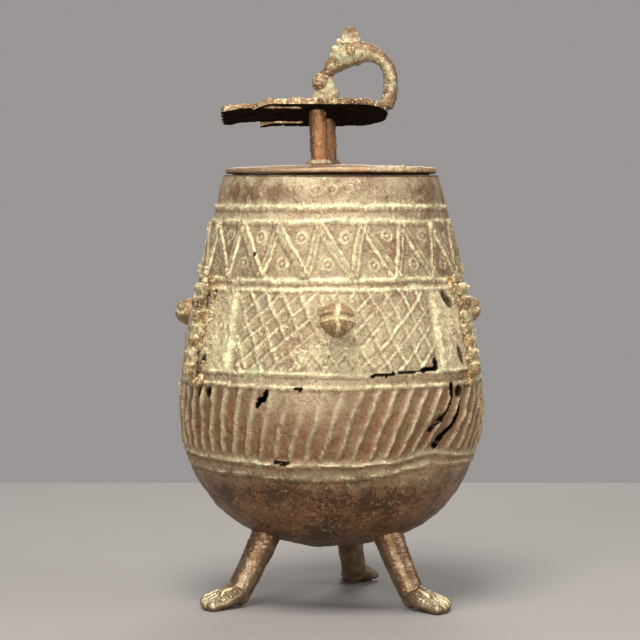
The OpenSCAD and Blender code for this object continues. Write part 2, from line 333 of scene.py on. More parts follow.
def darkenDownwards(paint, base, noises, brownAndShade):
    # To brown with red mottling. Gives the colour, the share of the dust that stays, and the polish
    tone = bronzeTones
    broad, middle, small, grain = noises
    heights = paint.node("ShaderNodeSeparateXYZ", inputs={0: paint.place}, output=2)
    heights = heights + (broad - 0.5) * (bowlTones["uneven"] * mm)
    atRibs = paint.above(heights, bowlTones["ribsFrom"] * mm, bowlTones["ribsTo"] * mm)
    atFoot = paint.above(heights, bowlTones["footFrom"] * mm, bowlTones["footTo"] * mm)
    brown = paint.blend(paint.above(middle, 0.47, 0.64), tone["umber"], tone["redBrown"])
    base = paint.blend(atRibs * 0.3 + atRibs * brownAndShade * 0.5, base, brown)
    mottling = paint.above(small * 0.2 + middle * 0.3 + broad * 0.5, 0.45, 0.55)
    deep = paint.blend(mottling * 0.85, tone["deepBrown"], tone["redBrown"])
    flecks = paint.above(small * 0.35 + grain * 0.25 + broad * 0.4, 0.46, 0.54)
    deep = paint.blend(flecks * 0.55, deep, tone["umber"])
    specks = paint.above(grain * 0.6 + small * 0.4, 0.55, 0.63)
    deep = paint.blend(specks * 0.6, deep, tone["khaki"])
    base = paint.blend(atFoot, base, deep)
    return base, (1 - atRibs * 0.5) * (1 - atFoot * 0.78), atFoot * 0.2


def bronzePaint(name, body, shade, dust, copper, green, dirt, gloss, metal, bump=0.9, seed=0.0, isBowl=False):
    # dust is the cream deposit and dirt the dark grains; copper and green say how much of each comes through
    paint = Paint(name)
    tone = bronzeTones
    broad = paint.noise(14, 3, 0.55, seed)
    middle = paint.noise(4.5, 5, 0.65, seed + 3, 0.4)
    small = paint.noise(1.6, 5, 0.7, seed + 7, 0.3)
    grain = paint.noise(0.6, 3, 0.75, seed + 11)
    speckle = small * 0.5 + grain * 0.5
    raised = paint.mark("raised")
    halo = paint.mark("halo")
    brownAndShade = paint.mark("brownAndShade")
    # The metal, mottled with a darker tone and with brown
    base = paint.blend(paint.above(middle * 0.6 + broad * 0.4, 0.4, 0.6), tone[body], tone[shade])
    base = paint.blend(paint.above(small, 0.5, 0.64) * 0.55, base, tone["brown"])
    bruise = paint.above(paint.noise(17, 4, 0.6, seed + 31), 0.5, 0.66)
    base = paint.blend(bruise * 0.45, base, tone["brown"])
    # This mark is painted shade beside raised lines, on the sides of the bowl and along the boss grooves, and
    # brown tone elsewhere
    base = paint.blend(brownAndShade * 0.85, base, tone["brown"])
    dusty, polish = 1.0, 0.0
    if isBowl:
        base, dusty, polish = darkenDownwards(paint, base, (broad, middle, small, grain), brownAndShade)
    worn = paint.above(middle * 0.5 + small * 0.5, 0.64 - copper * 0.4, 0.72 - copper * 0.4)
    base = paint.blend(worn * (0.2 + copper), base, tone["copper"])
    patches = paint.above(paint.noise(7, 4, 0.6, seed + 21), 0.7 - green, 0.78 - green)
    base = paint.blend(patches * (0.25 + speckle * 0.6), base, tone["verdigris"])
    # Dark grains, and cream deposit that is broken on the flats and thick along the raised lines; on the toes
    # the raised mark is also a painted highlight
    grime = paint.above(speckle, 0.5, 0.4) * dirt
    base = paint.blend(grime, base, tone["deepBrown"])
    powder = paint.above(speckle + middle * 0.3, 0.74 - dust * 0.1, 0.84 - dust * 0.1)
    broken = paint.above(middle * 0.6 + small * 0.4, 0.36, 0.6)
    thick = raised * (broken * 0.42 + speckle * 0.55) + halo * broken * paint.above(speckle, 0.46, 0.6) * 0.6
    cover = (powder * dust * 0.8 * (1 - brownAndShade * 0.7) + thick) * dusty
    base = paint.blend(cover, base, tone["cream"])
    # This mark is painted shade, near black: in cracks, hollows and toe grooves, in the gap under the lid and
    # under the bird's plate
    paintedShade = paint.mark("paintedShade")
    base = paint.blend(paintedShade, base, tone["pit"])
    roughness = gloss + 0.3 * small - worn * 0.1 + powder * 0.25 + paintedShade * 0.6 - polish
    height = small * 0.6 + grain * 0.5 + middle * 0.4
    paint.feed(paint.shader.inputs["Base Color"], base)
    paint.feed(paint.shader.inputs["Metallic"], worn * 0.3 + metal - powder * 0.25 + paintedShade)
    paint.feed(paint.shader.inputs["Roughness"], roughness)
    paint.feed(paint.shader.inputs["Normal"], paint.node("ShaderNodeBump", inputs={
        "Strength": bump, "Distance": 0.5 * mm, "Height": height}))
    return paint.material


wallBronze = bronzePaint(
    "wallBronze", "khaki", "mauve", dust=0.6, copper=0.06, green=0.09, dirt=0.6, gloss=0.42, metal=0.5,
    isBowl=True)
goldBronze = bronzePaint(
    "goldBronze", "gold", "brown", dust=0.9, copper=0.25, green=0.0, dirt=0.6, gloss=0.3, metal=0.55,
    seed=5.0)
bossBronze = bronzePaint(
    "bossBronze", "gold", "copper", dust=0.9, copper=0.1, green=0.0, dirt=0.25, gloss=0.26, metal=0.3,
    seed=5.0)
plateBronze = bronzePaint(
    "plateBronze", "umber", "brown", dust=0.75, copper=0.35, green=-0.05, dirt=0.9, gloss=0.28, metal=0.6,
    seed=9.0)
ballBronze = bronzePaint(
    "ballBronze", "khaki", "brown", dust=0.7, copper=0.3, green=0.05, dirt=0.8, gloss=0.3, metal=0.5,
    seed=12.0)
legBronze = bronzePaint(
    "legBronze", "mauve", "brown", dust=0.25, copper=0.2, green=-0.08, dirt=0.5, gloss=0.16, metal=0.75,
    bump=0.5, seed=2.0)
copperBronze = bronzePaint(
    "copperBronze", "copper", "brown", dust=0.5, copper=0.3, green=0.0, dirt=0.7, gloss=0.2, metal=0.8,
    seed=4.0)
lidBronze = bronzePaint(
    "lidBronze", "copper", "mauve", dust=0.5, copper=0.25, green=-0.02, dirt=0.5, gloss=0.32, metal=0.6,
    seed=6.0)
sootBronze = bronzePaint(
    "sootBronze", "deepBrown", "pit", dust=-0.5, copper=-0.2, green=-0.2, dirt=1.0, gloss=0.6, metal=0.2,
    seed=7.0)
birdBronze = bronzePaint(
    "birdBronze", "khaki", "brown", dust=0.65, copper=0.2, green=0.15, dirt=0.35, gloss=0.34, metal=0.5,
    seed=8.0)
solderGrey = bronzePaint(
    "solderGrey", "khaki", "umber", dust=0.6, copper=0.0, green=0.14, dirt=0.4, gloss=0.45, metal=0.3,
    seed=10.0)
print("materials made")


# Bowl


bowl = {
    "rimRadius": 37.3,
    "rimHeight": 146.0,
    "bellyRadius": 51.7,
    "bellyHeight": 68.0,
    "bottomHeight": 19.0,
    "wall": 2.0,
    "mouthRadius": 34.0,
    "lipHeight": 3.0,
    "facePitch": 0.5,  # width of one face of the wall
    "outlinePoints": 400,  # along each of the two curves of the outline
    "bossTurn": 1.8,  # the front boss, a little to the right
    "bossHeight": 98.9,
}
threads = [  # height, how far it stands out, half its width
    (135.2, 0.55, 0.95), (130.4, 0.5, 0.85), (111.3, 0.5, 0.85), (108.2, 0.35, 0.65),
    (81.0, 0.45, 0.75), (76.8, 0.4, 0.7)]
# The two lowest threads wander: turn round the bowl against height
lowThreads = [
    ([-180, -130, -74, -30, -15, 4, 24, 38, 52, 67, 120, 180],
     [51.2, 51.6, 52.7, 51.4, 51.1, 51.2, 52.1, 53.6, 53.1, 52.2, 51.0, 51.2]),
    ([-180, -120, -69, -30, -7, 10, 30, 45, 64, 110, 180],
     [47.0, 47.6, 48.4, 47.2, 46.3, 46.8, 49.2, 50.1, 49.9, 48.0, 47.0])]
zigzag = {
    "top": 129.4,
    "bottom": 112.2,
    "period": 20.0,
    "lowPoint": -10.7,
    "strokes": [(15.0, 1.3, -1), (5.0, 0.95, 1)],  # turn it spans, half its width, and the way it leans
    "dots": [(-13.6, 125.2), (-1.5, 116.2)],  # turn and height of one dot in each row
    "dotRing": 1.75,
}
curls = {"turns": range(-16, 34, 8), "height": 141.0, "radius": 1.7}
lattice = {
    "top": 107.4,
    "bottom": 81.9,
    "middle": 94.5,
    "panel": 43.0,  # half the turn that a panel spans
    "risingPitch": 6.7,
    "fallingPitch": 6.0,
    "clearOfBoss": (6.5, 8.5),
    "border": 2.2,  # from the edge of a panel to the middle of its border
    "foldHeight": 84.0,  # the little zigzag line below the boss
    "foldTall": 4.2,
    "foldPeriod": 5.2,
    "foldWidth": (9.5, 12.5),
    "foldTop": (89.5, 91.5),
}
ribs = {"top": 76.3, "count": 57, "middle": 64.0, "height": 0.95, "halfWidth": 0.72}
handleRoot = {"turn": 60.0, "swell": 2.0, "half": 9.0, "low": 80.5, "high": 109.0}
shadeAndBruises = {
    "spots": [(-52, 17), (-28, 9), (56, 15)],  # turn and half width, in degrees
    "height": 139.6,
    "halfHeight": 3.6,
    "neckFrom": (136.5, 138),  # over these heights the neck takes painted shade at the sides
    "sideFrom": (110, 113),  # and over these the right side takes painted shade
    "lowThreads": 78.5,
}
dentTurn = 42
# The dent, and the metal pushed up above it: aside, height, half width, half height and rise
dents = [(0, 55.5, 11, 7.5, -2.3), (-2, 67, 16, 5, 0.7)]
# Cracks: half width, then points as turn round the bowl and height
cracks = [
    (0.6, [(-28.0, 70.6), (-27.4, 71.4)]),
    (0.8, [(-27.0, 72.4), (-25.2, 72.9), (-24.9, 74.0)]),
    (0.45, [(-25.0, 74.3), (-24.4, 75.2)]),
    (0.42, [(-13.0, 76.4), (-11.2, 76.3)]),
    (0.32, [(15.0, 80.3), (18.0, 80.6), (20.5, 80.4), (23.8, 81.0)]),
    (0.1, [(25.5, 81.0), (29.0, 81.2), (35.5, 81.4)]),
    (0.5, [(36.0, 81.5), (39.5, 81.9), (42.8, 82.2)]),
    (0.55, [(42.8, 82.2), (42.9, 84.8)]),
    (0.85, [(50.8, 76.2), (50.6, 73.0), (49.6, 70.5)]),
    (0.6, [(49.2, 69.5), (46.2, 66.8), (42.8, 64.3), (40.5, 61.8)]),
    (0.35, [(56.7, 71.4), (54.9, 66.4), (53.2, 64.1)]),
    (0.9, [(53.4, 64.4), (49.6, 61.2), (46.8, 58.4), (44.9, 55.9)]),
    (0.28, [(-21.5, 52.0), (-19.0, 51.7), (-16.7, 51.9)]),
    (0.3, [(-35.7, 119.6), (-35.5, 119.2)])]
# Hollows beside and below the handles, painted with shade: turn, height, half width, half height and slant
hollows = [
    (-51.8, 73.7, 2.2, 1.7, 0), (55.6, 74.0, 1.7, 2.0, 0), (-58.0, 73.5, 1.4, 1.6, 0),
    (54.6, 104.2, 1.4, 3.1, 0.42), (56.6, 86.0, 0.85, 3.1, 0.25), (-55.0, 105.0, 1.0, 2.3, -0.3),
    (-55.4, 83.4, 1.0, 2.8, -0.3)]
# Bright scratches on the lower bowl, as turn and height
scratches = [
    [(16.4, 34.1), (27.0, 34.8), (39.0, 36.2)], [(38.3, 38.3), (45.7, 39.5)], [(-36.0, 40.4), (-28.5, 38.6)],
    [(4.0, 29.2), (12.0, 31.0)]]


def cubicCurve(points, t):
    a, b, c, d = (np.array(p) for p in points)
    t = t[:, None]
    return (1 - t) ** 3 * a + 3 * (1 - t) ** 2 * t * b + 3 * (1 - t) * t * t * c + t ** 3 * d


def bowlOutline():
    # One curve from the rim to the belly and one from there to the pole
    belly, bellyHeight = bowl["bellyRadius"], bowl["bellyHeight"]
    rim, rimHeight = bowl["rimRadius"], bowl["rimHeight"]
    above = rimHeight - bellyHeight
    below = bellyHeight - bowl["bottomHeight"]
    t = np.linspace(0, 1, bowl["outlinePoints"])
    upper = cubicCurve([
        (rim, rimHeight), (rim + 0.22 * (belly - rim), rimHeight - 0.282 * above),
        (belly - 0.1, bellyHeight + 0.308 * above), (belly, bellyHeight)], t)
    lower = cubicCurve([
        (belly, bellyHeight), (belly, bellyHeight - 0.55 * below),
        (0.7 * belly, bowl["bottomHeight"]), (0.001, bowl["bottomHeight"])], t)
    return np.vstack([upper, lower[1:]])


outline = bowlOutline()
outlineAlong = lengthsAlong(outline)
outlineSlope = np.gradient(outline, outlineAlong, axis=0)


def wallRadius(height):
    return np.interp(height, outline[::-1, 1], outline[::-1, 0])


def alongAt(height):
    return float(np.interp(height, outline[::-1, 1], outlineAlong[::-1]))


def underside(reach):
    # Height of the outside of the lower bowl at a distance from the axis
    lower = outline[:0:-1][:int(0.95 * bowl["outlinePoints"])]
    return np.interp(reach, lower[:, 0], lower[:, 1])


def wander(turn, height, cycles, seed):
    # Uneven waves round the bowl that close at the back
    a = np.radians(turn)
    return (
        np.sin(3 * cycles * a + 0.13 * cycles * height + seed)
        + 0.7 * np.sin(5 * cycles * a - 0.19 * cycles * height + 2.1 * seed)
        + 0.5 * np.sin(11 * cycles * a + 0.33 * cycles * height + 3.3 * seed)) / 2.2


def lineDistance(turn, height, points):
    # Millimetres along the wall to a line of (turn, height) points
    near = np.full(turn.shape, 99.0)
    scale = math.radians(1) * bowl["bellyRadius"]
    for (a0, z0), (a1, z1) in zip(points, points[1:]):
        dx, dz = (a1 - a0) * scale, z1 - z0
        x, z = wrap(turn - a0, 360) * scale, height - z0
        t = np.clip((x * dx + z * dz) / (dx * dx + dz * dz), 0, 1)
        near = np.minimum(near, np.hypot(x - t * dx, z - t * dz))
    return near


class WallSkin:
    # How far the wall stands out at each point, with its deposit and its dirt
    def __init__(self, turn, height, radius):
        a = np.radians(turn)
        self.spots = (radius * np.sin(a), radius * np.cos(a), height)
        self.arc = math.radians(1) * radius  # millimetres round the wall for one degree
        self.rise = 0.3 * wander(turn, height, 1, 0.4)
        self.rise = self.rise + 0.13 * self.uneven(7, 1.0) + 0.08 * self.uneven(2.6, 2.0)
        # No line of the pattern runs quite true, and each is worn more in some places than in others
        self.turn = turn + 0.17 * self.uneven(8, 3.0) / np.maximum(self.arc, 0.2)
        self.height = height + 0.13 * self.uneven(8, 4.0)
        self.wear = np.clip(0.8 + 0.42 * self.uneven(9, 5.0), 0.15, 1.15)
        self.marks = {name: np.zeros_like(turn) for name in ("raised", "halo", "brownAndShade", "paintedShade")}
        self.gap = np.full(turn.shape, 99.0)  # distance to the nearest crack, below 0 inside it

    def uneven(self, length, seed):
        return ripple(*self.spots, length, seed)

    def wander(self, cycles, seed):
        return wander(self.turn, self.height, cycles, seed)

    def tint(self, name, values):
        self.marks[name] = np.maximum(self.marks[name], values)

    def lay(self, distance, half, tall, cover, where=1.0, spread=2.2):
        # A raised line, the deposit on it and the thinner deposit beside it
        shape = ridge(distance, half) * where
        shown = np.minimum(where, 1.0)
        self.rise = self.rise + shape * tall * self.wear
        self.tint("raised", shape * cover * self.wear)
        self.tint("halo", ridge(distance, half * spread) * shown * cover)
        # Painted shadow along the lower side of the line
        self.tint("brownAndShade", 0.9 * ridge(distance + half * 1.7, half) * shown)


def layThreads(wall):
    for k, (level, tall, half) in enumerate(threads):
        uneven = 0.8 + 0.25 * wall.wander(3, k)
        distance = wall.height - level - 0.3 * wander(wall.turn, level, 1, 2.0 + k)
        wall.lay(distance, half, tall * uneven, 0.95)
    for k, (turns, levels) in enumerate(lowThreads):
        level = np.interp(wall.turn, turns, levels) + 0.15 * wander(wall.turn, 50, 3, k)
        wall.lay(wall.height - level, 0.8, 0.75, 0.75)


def layZigzag(wall):
    # A long stroke down and a short stroke up, with a ringed dot in each triangle
    top, bottom, period = zigzag["top"], zigzag["bottom"], zigzag["period"]
    tall = top - bottom
    share = np.clip((wall.height - bottom) / tall, 0, 1)
    inside = stepUp(wall.height, bottom - 0.8, bottom) * (1 - stepUp(wall.height, top, top + 0.8))
    beside = np.zeros_like(share)
    strips = np.zeros_like(share)
    for span, width, sign in zigzag["strokes"]:
        lean = span * wall.arc / tall
        centre = zigzag["lowPoint"] + sign * span * share
        sideways = wrap(wall.turn - centre, period) * wall.arc + 0.3 * wall.wander(2, int(sign < 0))
        aside = sign * sideways / np.hypot(1, lean)
        distance = np.abs(aside)
        strip = 1 - stepUp(distance, width - 0.15, width + 0.3)
        wall.rise = wall.rise + (0.7 * strip - 0.3 * ridge(distance, 0.6)) * inside
        wall.tint("halo", 0.3 * strip * inside)
        # A line of painted shade beside each strip
        beside = np.maximum(beside, 0.85 * ridge(distance - width - 0.8, 0.55) * inside)
        strips = np.maximum(strips, strip * inside)
        wall.lay(aside - width, 0.4, 0.12, 0.85, inside)
        wall.lay(aside + width, 0.4, 0.08, 0.6, inside)
    for dotTurn, dotHeight in zigzag["dots"]:
        along = wrap(wall.turn - dotTurn, period) * wall.arc
        distance = np.hypot(along, wall.height - dotHeight - 0.6 * wander(wall.turn, 0, 1, dotHeight))
        wall.lay(distance - zigzag["dotRing"], 0.5, 0.36, 0.5)
        wall.lay(distance, 0.75, 0.5, 0.55)
    # Painted shade beside the strips, and the flats between the lines are duller
    wall.tint("brownAndShade", beside * (1 - strips))
    bare = 1 - np.clip(wall.marks["halo"] * 1.6, 0, 1)
    wall.tint("brownAndShade", 0.5 * inside * bare * (0.8 + 0.5 * wall.uneven(11, 6.0)))


def shadeAndBruiseWall(wall):
    # The neck is darker away from the front, a painted shade
    turn, height = wall.turn, wall.height
    front = ridge(np.clip(turn + 6, -34, 34), 34)
    neck = stepUp(height, *shadeAndBruises["neckFrom"])
    wall.tint("brownAndShade", 0.3 * (1 - front) * neck * (1 + 0.7 * wall.uneven(9, 8.0)))
    # Painted shade darkens the right side from the rim down to the lattice, and the threads below it are
    # browner
    brown = 0.75 * stepUp(turn, 26, 56) * (1 - stepUp(turn, 78, 100)) * stepUp(height, *shadeAndBruises["sideFrom"])
    atThreads = ridge(height - shadeAndBruises["lowThreads"], 5)
    lowBrown = 0.6 * stepUp(turn, 4, 20) * (1 - stepUp(turn, 70, 90)) * atThreads
    wall.tint("brownAndShade", np.maximum(brown, lowBrown) * (0.85 + 0.4 * wall.uneven(8, 9.0)))
    for at, wide in shadeAndBruises["spots"]:
        upright = ((height - shadeAndBruises["height"]) / shadeAndBruises["halfHeight"]) ** 2
        patch = np.exp(-(wrap(turn - at, 360) / wide) ** 2 - upright)
        wall.tint("brownAndShade", patch * (1.25 + 0.45 * wall.uneven(6, 7.0)))


def layCurls(wall):
    # A faint row of curls on the neck, worn away but for the middle
    for at in curls["turns"]:
        along = wrap(wall.turn - at, 360) * wall.arc
        distance = np.hypot(along, wall.height - curls["height"] - 0.4 * math.sin(at))
        wall.lay(distance - curls["radius"], 0.45, 0.3, 0.3, 0.5 + 0.5 * wall.wander(2, 3.0))


def layLattice(wall):
    # Panels of crossed lines, each centred on a boss, between upright borders
    height = wall.height
    low, high, edge = lattice["bottom"], lattice["top"], lattice["panel"]
    fromBoss = wrap(wall.turn - bowl["bossTurn"], 120)
    away = np.abs(fromBoss)
    x = fromBoss * wall.arc
    z = height - lattice["middle"]
    side = fromBoss / edge
    band = stepUp(height, low - 0.8, low + 0.6) * (1 - stepUp(height, high - 0.6, high + 0.6))
    panel = band * (1 - stepUp(away, edge - 1.5, edge))
    offBoss = stepUp(np.hypot(x, height - bowl["bossHeight"]), *lattice["clearOfBoss"])
    # A little zigzag line below the boss, where the lattice gives out
    below = (1 - stepUp(np.abs(x + 3), *lattice["foldWidth"])) * (1 - stepUp(height, *lattice["foldTop"]))
    fold = np.abs(wrap(x, lattice["foldPeriod"])) / (lattice["foldPeriod"] / 2)
    offFold = height - lattice["foldHeight"] - lattice["foldTall"] * fold
    wall.lay(offFold * 0.55, 0.45, 0.4, 0.6, below * band)
    rising = 1.1 - 0.28 * side
    falling = 0.5 + 0.12 * side
    hand = 0.7 * wall.wander(2, 5.0)
    lines = [
        (x - rising * z + hand, rising, lattice["risingPitch"]),
        (x + falling * z - hand, falling, lattice["fallingPitch"])]
    for k, (across, lean, pitch) in enumerate(lines):
        distance = wrap(across, pitch) / np.hypot(1, lean)
        fade = np.clip(0.75 + 0.4 * wall.wander(2, 7.0 + k), 0.25, 1)
        wall.lay(distance, 0.6, 0.55, 0.8, panel * offBoss * fade * (1 - 0.8 * below))
    wall.lay(away - edge - lattice["border"], 2.6, 0.35, 0.9, band)
    # Deposit lies on the borders, round the boss and below it
    border = band * stepUp(away, edge + 2, edge + 6)
    wall.tint("halo", np.maximum(0.6 * border, 0.8 * band * np.maximum(1 - offBoss, below)))
    deposit = stepUp(away, edge - 6, edge - 1) * (1 - stepUp(away, edge + 5, edge + 11))
    wall.tint("raised", 0.42 * band * deposit * (0.85 + 0.4 * wall.uneven(7, 10.0)))


def swellAtHandles(wall):
    # The wall swells where a handle is joined to it
    low, high = handleRoot["low"], handleRoot["high"]
    fromBoss = wrap(wall.turn - bowl["bossTurn"], 120)
    toHandle = (handleRoot["turn"] - np.abs(fromBoss)) * wall.arc
    length = stepUp(wall.height, low - 4, low + 2) * (1 - stepUp(wall.height, high - 2, high + 3))
    wall.rise = wall.rise + handleRoot["swell"] * ridge(toHandle, handleRoot["half"]) * length


def layRibs(wall):
    # Slanted ribs, steeper to the left and leaning further to the right
    turn, height = wall.turn, wall.height
    lean = 0.33 + 0.27 * np.sin(np.radians(turn))
    pitch = 2 * math.pi * bowl["bellyRadius"] / ribs["count"]
    across = turn / 360 * ribs["count"] - lean * (height - ribs["middle"]) / pitch
    distance = wrap(across + 0.045 * wall.wander(3, 6.0), 1) * pitch
    low = np.interp(turn, *lowThreads[0]) + 0.8
    band = stepUp(height, low, low + 1.6) * (1 - stepUp(height, ribs["top"] - 1.8, ribs["top"]))
    strength = band * (0.8 + 0.3 * wall.wander(2, 9.0))
    # Their upper ends are rubbed down left of the middle
    soft = 1 - 0.85 * ridge(turn + 12, 30) * stepUp(height, 60, 71)
    wall.lay(distance, ribs["halfWidth"], ribs["height"], 0.42, strength * soft, 1.4)
    hollow = stepUp(np.abs(distance), 0.7, 1.7) * band
    wall.rise = wall.rise - 0.4 * hollow * soft
    wall.tint("brownAndShade", hollow * soft)


def damageWall(wall):
    turn, height = wall.turn, wall.height
    fromDent = wrap(turn - dentTurn, 360) * wall.arc
    for aside, level, wide, high, lift in dents:
        bulge = np.exp(-((fromDent - aside) / wide) ** 2 - ((height - level) / high) ** 2)
        wall.rise = wall.rise + lift * bulge
    for at, level, wide, high, slant in hollows:
        sideways = wrap(turn - at, 360) * wall.arc + slant * (height - level)
        away = np.hypot(sideways / wide, (height - level) / high)
        wall.rise = wall.rise - 1.2 * (1 - stepUp(away, 0.3, 1.2))
        # Painted shade in the hollows
        wall.tint("paintedShade", (0.75 if slant else 0.9) * (1 - stepUp(away, 0.7, 1.25)))
    # Cracks have ragged edges, and the metal beside them is pushed in
    for half, points in cracks:
        away = lineDistance(turn, height, points) - half * (1 + 0.22 * wall.wander(9, half * 7))
        wall.gap = np.minimum(wall.gap, away)
        wall.rise = wall.rise - 0.5 * np.exp(-np.clip(away, 0, 9) / 0.9) * min(1.0, half * 1.6)
        # Painted shade in the cracks and along their edges
        wall.tint("paintedShade", np.where(away < 0.28, 0.95, 0.0))
    # Painted shade along the top of the rim, in the gap under the lid
    wall.tint("paintedShade", 0.9 * stepUp(height, bowl["rimHeight"] - 0.4, bowl["rimHeight"] - 0.05))
    for points in scratches:
        wall.tint("raised", 0.8 * ridge(lineDistance(turn, height, points), 0.45))


def carveWall(turn, height, radius):
    wall = WallSkin(turn, height, radius)
    layThreads(wall)
    layZigzag(wall)
    shadeAndBruiseWall(wall)
    layCurls(wall)
    layLattice(wall)
    swellAtHandles(wall)
    layRibs(wall)
    damageWall(wall)
    return wall


def warpRim(turn, height):
    # The rim falls away from the lid towards the front
    a = np.radians(turn)
    gap = 0.34 + 0.3 * np.cos(a - 0.2) + 0.07 * np.sin(3 * a + 1)
    return height - gap * stepUp(height, bowl["rimHeight"] - 6, bowl["rimHeight"])


def wallBand(name, top, bottom, columns, rows):
    # One band of the wall, from a height down to another, or to the pole where bottom is None
    first = alongAt(top)
    last = outlineAlong[-1] if bottom is None else alongAt(bottom)
    rim = bowl["rimHeight"]
    carved = []

    def place(u, v):
        turn = u * 360 - 180
        along = last + (first - last) * v
        radius, height = (np.interp(along, outlineAlong, outline[:, k]) for k in (0, 1))
        down, up = (np.interp(along, outlineAlong, outlineSlope[:, k]) for k in (0, 1))
        length = np.hypot(up, down)
        wall = carveWall(turn, height, radius)
        carved.append(wall)
        # The relief dies out at the pole, and towards the rim it is fainter and the wall draws in
        rise = wall.rise * stepUp(radius, 0, 12)
        if top == rim:
            rise = rise * (1 - 0.5 * stepUp(height, rim - 4, rim)) - 0.8 * stepUp(height, rim - 5, rim + 1)
            height = warpRim(turn, height)
        return roundAxis(radius - rise * up / length, np.radians(turn), height + rise * down / length)

    piece = wrappedGrid(name, columns, rows, place)
    wall = carved[0]
    for mark, values in wall.marks.items():
        paintPoints(piece, mark, values)
    corners = np.empty(len(piece.data.loops), dtype=np.int32)
    piece.data.loops.foreach_get("vertex_index", corners)
    inCrack = wall.gap[corners].reshape(-1, 4).mean(axis=1) < 0
    if inCrack.any():
        deleteFaces(piece, inCrack)
    mergeDoubles(piece, 0.02)
    useModifier(piece, "SOLIDIFY", thickness=bowl["wall"] * mm, offset=-1)
    smoothFaces(piece, 50)
    finishPiece(piece, wallBronze, "vessel", "patinated_bronze", "vessel_body")


columnsRound = int(2 * math.pi * bowl["bellyRadius"] / bowl["facePitch"])
# Name, height of the top, and faces round it and down it; each band ends where the next one starts
bands = [
    ("neckBand", bowl["rimHeight"], columnsRound, 27), ("zigzagBand", 132.8, columnsRound, 48),
    ("latticeBand", 109.8, columnsRound, 62), ("ribBand", 79.0, columnsRound, 62),
    ("bowlBottom", 49.4, 300, 70)]
bandBottoms = [top for name, top, columns, rows in bands[1:]] + [None]
for (bandName, bandTop, bandColumns, bandRows), bandBottom in zip(bands, bandBottoms):
    wallBand(bandName, bandTop, bandBottom, bandColumns, bandRows)


def mouthLip():
    # The thick lip inside the rim, a ring with four corners
    inner, outer = bowl["mouthRadius"], bowl["rimRadius"] - 1.2
    high = bowl["rimHeight"]
    low = high - bowl["lipHeight"]
    corners = np.array([(outer, low - 0.6), (inner, low), (inner, high), (outer, high)])

    def place(u, v):
        turn = u * 360 - 180
        corner = v * 4
        index = np.minimum(corner.astype(int), 3)
        share = (corner - index)[:, None]
        spot = corners[index] * (1 - share) + corners[(index + 1) % 4] * share
        return roundAxis(spot[:, 0], np.radians(turn), warpRim(turn, spot[:, 1]))

    piece = wrappedGrid("mouthLip", 240, 16, place)
    mergeDoubles(piece, 0.01)
    faceOutwards(piece)
    smoothFaces(piece, 40)
    finishPiece(piece, wallBronze, "vessel", "patinated_bronze", "vessel_body")


mouthLip()
print("bowl made")


# Legs


leg = {
    "turns": {"leg_left": -64, "leg_right": 52, "leg_rear": 166},
    "footTurns": {"leg_left": 3, "leg_right": 6, "leg_rear": 0},
    "bigToeSide": {"leg_left": 1, "leg_right": -1, "leg_rear": 1},
    # Place and radius from the knee down to the ankle
    "shin": [(0, -24, 24.6, 5.2), (0, -27.6, 17.5, 4.9), (0, -31.2, 11.0, 4.6), (0, -33.8, 6.4, 4.5)],
    # The heel stays within the line of the shin, and the instep slopes down to the toes
    "foot": [(0, -0.6, 3.5, 3.5), (0, -2.8, 4.4, 4.2), (0, -6.5, 3.6, 3.3)],
    "toeLengths": (15.6, 15.9, 15.2, 14.2, 12.9),
    "toeRadii": (2.1, 1.75, 1.65, 1.55, 1.45),
    "toeGap": 2.75,  # between the middles of two toes at the tips
    "grooveHalf": 0.27,  # as a share of the gap
    "grooveDepth": 1.4,
    "soleTilt": 3.0,
    "flare": 0.16,  # of the top of the shin, where it meets the bowl
    "intoWall": 1.2,
    "voxel": 0.26,
}


def makeFoot(node):
    # The foot alone, with its ankle over the origin and its toes towards -Y
    bigToe = leg["bigToeSide"][node]
    blobs = blobChain(leg["foot"], 6)
    across = np.linspace(2, -2, 5) * leg["toeGap"] * bigToe
    for side, length, radius in zip(across, leg["toeLengths"], leg["toeRadii"]):
        blobs += blobChain([
            (side * 0.3, -3.0, 4.2, 3.2), (side * 0.66, -6.5, 3.1, 2.5), (side * 0.9, -10.5, 2.1, 1.9),
            (side, radius - length, 1.5, radius)], 10)
    foot = joinPieces(blobs, node + "Foot")
    foot.data.transform(Matrix.Rotation(math.radians(leg["soleTilt"] * bigToe), 4, "Y"))
    turnPiece(foot, leg["footTurns"][node])
    return foot


